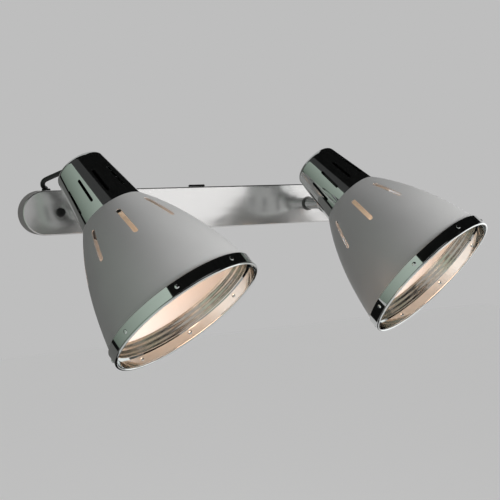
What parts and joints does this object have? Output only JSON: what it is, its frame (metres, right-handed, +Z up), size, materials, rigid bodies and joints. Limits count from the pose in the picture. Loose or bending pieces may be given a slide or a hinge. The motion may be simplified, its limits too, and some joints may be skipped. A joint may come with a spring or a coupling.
{
  "type": "pivoting spotlight wall light",
  "caption": "Wall light with a slim round-ended bar and bell-shaped metal spotlights, each on a stem that turns sideways and a knuckle that tilts, with slotted necks and riveted mouth rings.",
  "frame": {"origin": "middle of the wall bracket's back face, on the wall, half-way between the two wall slots and at the cable hole's centre", "axes": "+X along the bar to the right as seen from the room, +Y into the wall, +Z up; the lamps stand out along -Y"},
  "size_m": [0.4111, 0.2358, 0.19],
  "materials": {
    "polished_chrome": "mirror polished chrome plate",
    "satin_nickel": "satin nickel plate outside and inside",
    "plated_steel": "zinc plated",
    "black_screws": "black oxide",
    "white_plastic": "natural nylon",
    "black_plastic": "moulded, half gloss",
    "black_rubber": "matt",
    "black_lead": "smooth sheath, half matt",
    "brass": "plain",
    "lamp_cap": "rolled thread, half matt",
    "lamp_glass": "opal white"
  },
  "bodies": {
    "bar": {"cord_clamps": "white_plastic", "cover": "satin_nickel", "cover_screws": "black_screws", "earth_terminal": "brass", "entry_blank": "black_rubber", "left_bar_tail": "black_lead", "left_cover_grommet": "black_rubber", "right_bar_tail": "black_lead", "right_cover_grommet": "black_rubber", "screw_posts": "plated_steel", "stem_backplates": "plated_steel", "terminal_block": "white_plastic", "terminal_screws": "plated_steel", "wall_bracket": "plated_steel"},
    "left_swivel": {"left_knuckle_screw": "plated_steel", "left_knuckle_washer": "white_plastic", "left_stem_nut": "plated_steel", "left_stem_spring_washer": "plated_steel", "left_stem_washer": "white_plastic", "left_swivel_stem": "polished_chrome"},
    "left_lamp": {"left_bulb_cap": "lamp_cap", "left_bulb_glass": "lamp_glass", "left_cap_nut": "polished_chrome", "left_centre_contact": "brass", "left_holder_dome": "black_plastic", "left_holder_skirt": "black_plastic", "left_holder_tail": "black_lead", "left_lead": "black_lead", "left_mouth_ring": "polished_chrome", "left_neck_bush": "black_rubber", "left_neck_cup": "polished_chrome", "left_neck_knuckle": "polished_chrome", "left_neck_nut": "plated_steel", "left_ring_rivets": "polished_chrome", "left_screw_shell": "brass", "left_shade": "satin_nickel", "left_shade_ring": "black_plastic"},
    "right_swivel": {"right_knuckle_screw": "plated_steel", "right_knuckle_washer": "white_plastic", "right_stem_nut": "plated_steel", "right_stem_spring_washer": "plated_steel", "right_stem_washer": "white_plastic", "right_swivel_stem": "polished_chrome"},
    "right_lamp": {"right_bulb_cap": "lamp_cap", "right_bulb_glass": "lamp_glass", "right_cap_nut": "polished_chrome", "right_centre_contact": "brass", "right_holder_dome": "black_plastic", "right_holder_skirt": "black_plastic", "right_holder_tail": "black_lead", "right_lead": "black_lead", "right_mouth_ring": "polished_chrome", "right_neck_bush": "black_rubber", "right_neck_cup": "polished_chrome", "right_neck_knuckle": "polished_chrome", "right_neck_nut": "plated_steel", "right_ring_rivets": "polished_chrome", "right_screw_shell": "brass", "right_shade": "satin_nickel", "right_shade_ring": "black_plastic"}
  },
  "joints": [
    {"name": "left_pan", "type": "hinge", "parent": "bar", "child": "left_swivel", "pos_m": [-0.125, -0.0565, 0], "axis": [0, -1, 0], "range_deg": [-80, 5], "deforming": ["left_lead"]},
    {"name": "left_tilt", "type": "hinge", "parent": "left_swivel", "child": "left_lamp", "pos_m": [-0.125, -0.0565, 0], "axis": [-0.9063, 0, -0.4226], "range_deg": [-24, 50], "deforming": ["left_lead"]},
    {"name": "right_pan", "type": "hinge", "parent": "bar", "child": "right_swivel", "pos_m": [0.125, -0.0565, 0], "axis": [0, -1, 0], "range_deg": [-48, 27], "deforming": ["right_lead"]},
    {"name": "right_tilt", "type": "hinge", "parent": "right_swivel", "child": "right_lamp", "pos_m": [0.125, -0.0565, 0], "axis": [-0.8829, 0, -0.4695], "range_deg": [-31, 43], "deforming": ["right_lead"]}
  ]
}
